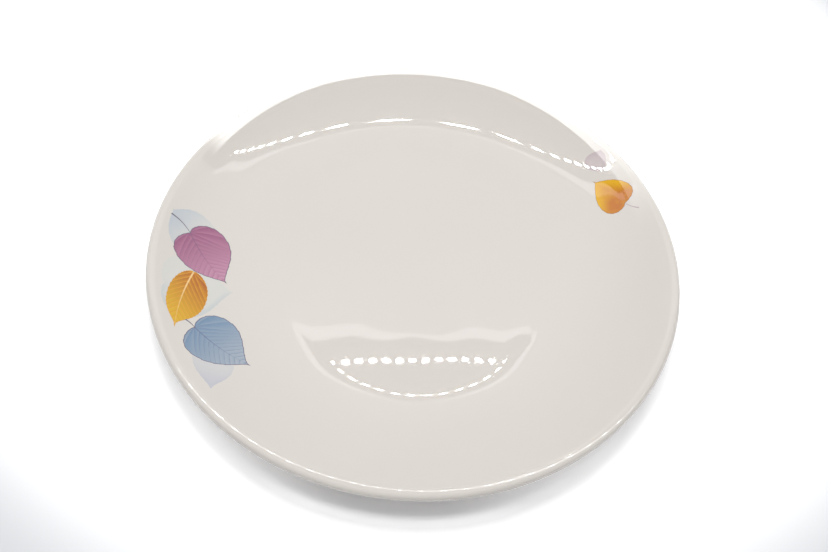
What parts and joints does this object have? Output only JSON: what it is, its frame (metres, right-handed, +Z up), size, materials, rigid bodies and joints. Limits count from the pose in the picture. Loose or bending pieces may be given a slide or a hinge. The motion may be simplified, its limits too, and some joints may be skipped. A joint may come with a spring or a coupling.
{
  "type": "dinner plate",
  "caption": "Round coupe dinner plate in glazed ceramic, with a flat floor, coved wall, rolled rim and foot ring, and printed leaves near the rim.",
  "frame": {"origin": "on the table under the plate's centre, at the level of the foot ring's contact face", "axes": "+Z up along the plate's axis; seen from the front, which is -Y, the group of three leaves lies towards -X and the single leaf towards +X and +Y"},
  "size_m": [0.271, 0.271, 0.026],
  "materials": {
    "glaze": "gloss",
    "leaf_print": "gloss"
  },
  "bodies": {
    "root": {"plate": "glaze"}
  },
  "joints": []
}
